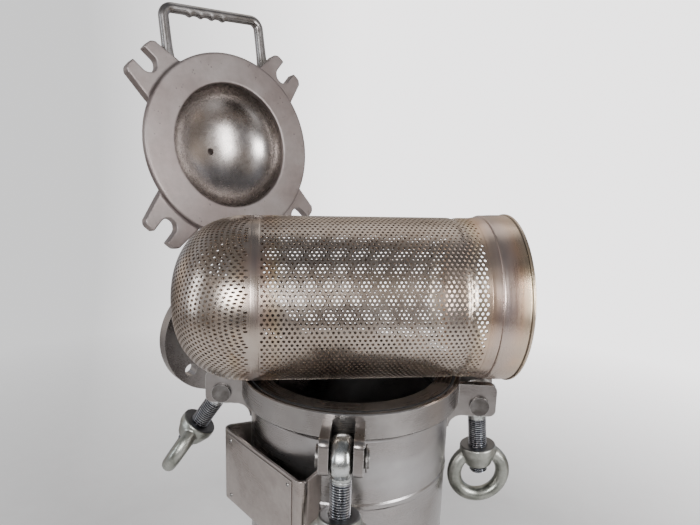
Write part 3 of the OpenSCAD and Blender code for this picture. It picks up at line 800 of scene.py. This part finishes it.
def threadMaterial():
    # painted shade makes the thread's roots nearly black, and a painted highlight brightens its crests
    material = steelMaterial("threadSteel", looks["bolt"])
    tree = material.node_tree
    shader = tree.nodes["Principled BSDF"]
    radius = useGroup(tree, turnedGrain, Vector=objectVector(tree), Rings=900.0)["Radius"]
    # by radius: painted shade at the roots, painted highlight at the crests
    crest = spread(tree, radius, (bolt["root"] + 0.2) * mm, (bolt["radius"] - 0.2) * mm)
    link = shader.inputs["Base Color"].links[0].from_socket
    paintedCrestHighlight = blendColour(tree, 1.0, link, (1.5, 1.5, 1.5, 1), "MULTIPLY")
    tree.links.new(blendColour(tree, crest, (0.035, 0.036, 0.042, 1), paintedCrestHighlight), shader.inputs["Base Color"])
    return material


threadSteel = threadMaterial()


def buildBolt(side):
    b = bolt
    # a barrel round the pin, blended into the shank
    barrel = [(b["bore"], -b["eyeHalf"])]
    for i in range(25):
        z = b["eyeHalf"] * math.sin(math.radians(-90 + 180 * i / 24))
        bulge = (1 - (abs(z) / (b["eyeHalf"] + 0.5)) ** b["roundness"]) ** (1 / b["roundness"])
        barrel.append((b["eyeRadius"] * bulge + 0.4, z))
    barrel.append((b["bore"], b["eyeHalf"]))
    eyePoints, eyeFaces = lathe(barrel, 96)
    eyePoints = [(x, -z, y) for x, y, z in eyePoints]
    shank = [(9.4, -12.0), (9.6, -19.0), (9.3, b["stub"])]
    stubPoints, stubFaces = lathe(shank, b["stubSteps"], loop=False)
    count = len(shank)
    stubFaces.append(tuple(i * count for i in range(b["stubSteps"])))
    stubFaces.append(tuple(i * count + count - 1 for i in reversed(range(b["stubSteps"]))))
    # the bore stays open because the stub starts below it
    points, faces = joinMeshes((eyePoints, eyeFaces), (stubPoints, stubFaces))
    place = onPin(side)
    eye = castSoften(makePiece("swingBoltEye_" + side, points, faces, place, merge=0.001), b["voxel"], b["passes"])
    finishPiece(eye, "bolt_" + side, steel["forgedEye"], "bolt_steel", "swing_bolt_" + side)
    points, faces = threadMesh(b)
    thread = makePiece("swingBoltThread_" + side, points, faces, place, smoothAngle=50)
    finishPiece(thread, "bolt_" + side, threadSteel, "bolt_steel")


eyeNut = {"drop": 55.0, "voxel": 0.8, "passes": 14}


def nutMaterial():
    # greenish forged ring, with its machined seat face darkened to nearly black
    material = steelMaterial("eyeNutSteel", looks["nutCast"])
    tree = material.node_tree
    shader = tree.nodes["Principled BSDF"]
    height = addNode(tree, "SeparateXYZ", {0: objectVector(tree)}).outputs[2]
    face = spread(tree, height, -0.0009, -0.0004)
    link = shader.inputs["Base Color"].links[0].from_socket
    tree.links.new(blendColour(tree, calc(tree, "MULTIPLY", face, 0.8), link, (0.13, 0.13, 0.14, 1)),
                   shader.inputs["Base Color"])
    return material


nutSteel = nutMaterial()
for side in pins["azimuth"]:
    buildBolt(side)
    nutPlace = onPin(side) @ turned("Z", pins["nutTurn"][side]) @ moved(0, 0, -eyeNut["drop"])
    nut = castSoften(copyNode("eyeNut_" + side, "eye_nut_" + side, nutPlace), eyeNut["voxel"], eyeNut["passes"])
    finishPiece(nut, "nut_" + side, nutSteel, "nut_steel", "eye_nut_" + side)
print("bolts and nuts made")


# frame parts that stay: weld their seams, soften their edges, give them a finish
def dress(node, material, bevel):
    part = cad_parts[node]
    part.data.materials.clear()
    part.data.materials.append(material)
    if bevel:
        weld = part.modifiers.new("weld", "WELD")
        weld.merge_threshold = 0.000002
        soft = part.modifiers.new("soft", "BEVEL")
        soft.width = bevel * mm
        soft.segments = 2
        soft.limit_method = "ANGLE"
        soft.angle_limit = math.radians(35)
        soft.harden_normals = True


# the steel, the bevel in mm, and the parts that get them
finishes = [
    ("shell", 0, ("shell_tube", "bottom_head", "seat_ring", "inlet_nozzle", "outlet_nozzle", "drain_coupling")),
    ("collar", 0, ("top_collar", "inlet_flange", "outlet_flange")),
    ("plate", 1.2, ("clevis_front", "clevis_right", "clevis_back", "clevis_left")),
    ("pin", 0.5, ("pivot_pin_front", "pivot_pin_right", "pivot_pin_back", "pivot_pin_left")),
    ("plate", 0.8, ("hinge_ear_1", "hinge_ear_2", "leg_1", "leg_2", "leg_3", "foot_plate_1", "foot_plate_2",
                    "foot_plate_3")),
    ("tag", 0.8, ("nameplate_bracket",)),
    ("tag", 0.25, ("nameplate",)),
    ("pin", 0.3, ("hinge_stop_bar", "hinge_pin", "hinge_pin_clip", "drain_plug", "pivot_pin_clips",
                  "nameplate_rivets"))]
for look, bevel, nodes in finishes:
    for node in nodes:
        dress(node, steel[look], bevel)
dress("vent_boss", bossSteel, 0.6)
dress("lid_seal", rubber, 0)

collarWeld = {"outer": 119.4, "inner": 109.3, "top": -26.0, "low": -37.0, "root": 1.5, "steps": 14}


def buildCollarWeld():
    w = collarWeld
    across, high = w["outer"] - w["inner"], w["top"] - w["low"]
    cove = []
    for i in range(w["steps"] + 1):
        a = math.pi / 2 * i / w["steps"]
        cove.append((w["outer"] - across * math.sin(a), w["top"] - high * (1 - math.cos(a))))
    profile = cove + [(w["inner"] - w["root"], w["low"]), (w["inner"] - w["root"], w["top"])]
    points, faces = lathe(profile, 256)
    piece = makePiece("collarWeld", points, faces, atRim(0))
    finishPiece(piece, "vessel", steel["shell"], "vessel_steel")


buildCollarWeld()
print("frame parts dressed")


# stage, light and camera
# tones of the wall seen behind the object: painted shade on the left, painted light toward the right
stageLook = {"paintedWallShade": (1.05, 1.05, 1.06, 1), "paintedWallLight": (2.9, 2.84, 2.86, 1)}


def makeFloor():
    mesh = bpy.data.meshes.new("floor")
    work = bmesh.new()
    bmesh.ops.create_circle(work, cap_ends=True, radius=4.0, segments=96)
    work.to_mesh(mesh)
    work.free()
    floor = bpy.data.objects.new("floor", mesh)
    bpy.context.scene.collection.objects.link(floor)
    floor.location = (0, 0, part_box("foot_plate_1")[0].z - 0.0005)
    material, tree, shader = newMaterial("paleFloor", metallic=0.0, roughness=0.7)
    vector = objectVector(tree)
    clouds = useGroup(tree, mottle, Vector=vector, Scale=3.0)
    tree.links.new(blendColour(tree, clouds["Fine"], (0.86, 0.85, 0.84, 1), (0.90, 0.89, 0.88, 1)),
                   shader.inputs["Base Color"])
    away = addNode(tree, "VectorMath", {0: vector}, operation="LENGTH").outputs["Value"]
    clear = addNode(tree, "BsdfTransparent")
    mix = addNode(tree, "MixShader", {0: spread(tree, away, 0.7, 1.9), 1: shader.outputs[0], 2: clear.outputs[0]})
    tree.links.new(mix.outputs[0], tree.nodes["Material Output"].inputs["Surface"])
    floor.data.materials.append(material)


def makeWorld():
    world = bpy.data.worlds.new("studio")
    bpy.context.scene.world = world
    world.use_nodes = True
    tree = world.node_tree
    back = tree.nodes["Background"]
    direction = addNode(tree, "TexCoord").outputs["Generated"]
    parts = addNode(tree, "SeparateXYZ", {0: direction}).outputs
    # what the steel reflects: a pale wall behind, a dimmer room in front, a warm floor, broken up by soft patches
    front = spread(tree, parts[1], 0.3, -0.5)
    low = spread(tree, parts[2], 0.0, -0.5)
    high = spread(tree, parts[2], 0.35, 0.9)
    room = blendColour(tree, front, (0.80, 0.79, 0.78, 1), (0.30, 0.285, 0.275, 1))
    room = blendColour(tree, high, room, (0.22, 0.215, 0.21, 1))
    room = blendColour(tree, low, room, (0.36, 0.30, 0.25, 1))
    patches = addNode(tree, "TexNoise", {"Vector": direction, "Scale": 2.3, "Detail": 2.0, "Roughness": 0.5})
    tints = addNode(tree, "TexNoise", {"Vector": direction, "Scale": 1.7, "Detail": 1.0})
    depth = spread(tree, patches.outputs[0], 0.36, 0.64, 0.35, 1.55)
    room = blendColour(tree, 1.0, room, greyColour(tree, depth), "MULTIPLY")
    tint = blendColour(tree, spread(tree, tints.outputs[0], 0.42, 0.58), (0.88, 0.95, 1.08, 1), (1.08, 0.98, 0.88, 1))
    room = blendColour(tree, 1.0, room, tint, "MULTIPLY")
    # the wall seen behind: painted shade on its left and painted light toward the right, as light falls on a wall
    side = spread(tree, parts[0], -0.42, -0.05)
    wall = blendColour(tree, side, stageLook["paintedWallShade"], stageLook["paintedWallLight"])
    seen = addNode(tree, "LightPath").outputs["Is Camera Ray"]
    tree.links.new(blendColour(tree, seen, room, wall), back.inputs[0])
    back.inputs[1].default_value = 1.0


# place, target, size, power and colour of each light
lights = {"window": ((-0.45, -2.6, 1.4), (0, 0, 0.65), (1.0, 0.9), 64, (0.97, 0.985, 1.0)),
          "left": ((-1.7, -0.7, 0.9), (0, 0, 0.6), (0.35, 1.1), 10, (0.88, 0.94, 1.0)),
          "right": ((1.5, -1.1, 1.0), (0, 0, 0.6), (0.5, 1.2), 36, (0.96, 0.98, 1.0)),
          "overhead": ((0.3, 0.9, 2.3), (0, 0, 0.5), (1.0, 1.0), 4, (1.0, 0.97, 0.93))}


def addLight(name, place, target, size, power, colour):
    data = bpy.data.lights.new(name, "AREA")
    data.shape = "RECTANGLE"
    data.size, data.size_y = size
    data.energy = power
    data.color = colour
    light = bpy.data.objects.new(name, data)
    bpy.context.scene.collection.objects.link(light)
    light.location = place
    light.rotation_euler = (Vector(target) - Vector(place)).to_track_quat("-Z", "Y").to_euler()


makeFloor()
makeWorld()
for name, (place, target, size, power, colour) in lights.items():
    addLight(name, place, target, size, power, colour)

shot = {"place": (0.0250, -0.6450, rimHeight + 0.2606), "heading": 2.65, "pitch": 12.51, "roll": 1.87,
        "lens": 31.716, "sensor": 36.0}


def makeCamera():
    data = bpy.data.cameras.new("camera")
    camera = bpy.data.objects.new("camera", data)
    bpy.context.scene.collection.objects.link(camera)
    data.sensor_width, data.lens = shot["sensor"], shot["lens"]
    data.clip_start, data.clip_end = 0.01, 50.0
    heading, pitch, roll = (math.radians(shot[k]) for k in ("heading", "pitch", "roll"))
    forward = Vector((-math.sin(heading) * math.cos(pitch), math.cos(heading) * math.cos(pitch), -math.sin(pitch)))
    right = Vector((math.cos(heading), math.sin(heading), 0))
    up = right.cross(forward)
    across = right * math.cos(roll) + up * math.sin(roll)
    above = up * math.cos(roll) - right * math.sin(roll)
    camera.matrix_world = Matrix.Translation(shot["place"]) @ Matrix((across, above, -forward)).transposed().to_4x4()
    bpy.context.scene.camera = camera


makeCamera()
print("stage, lights and camera set")
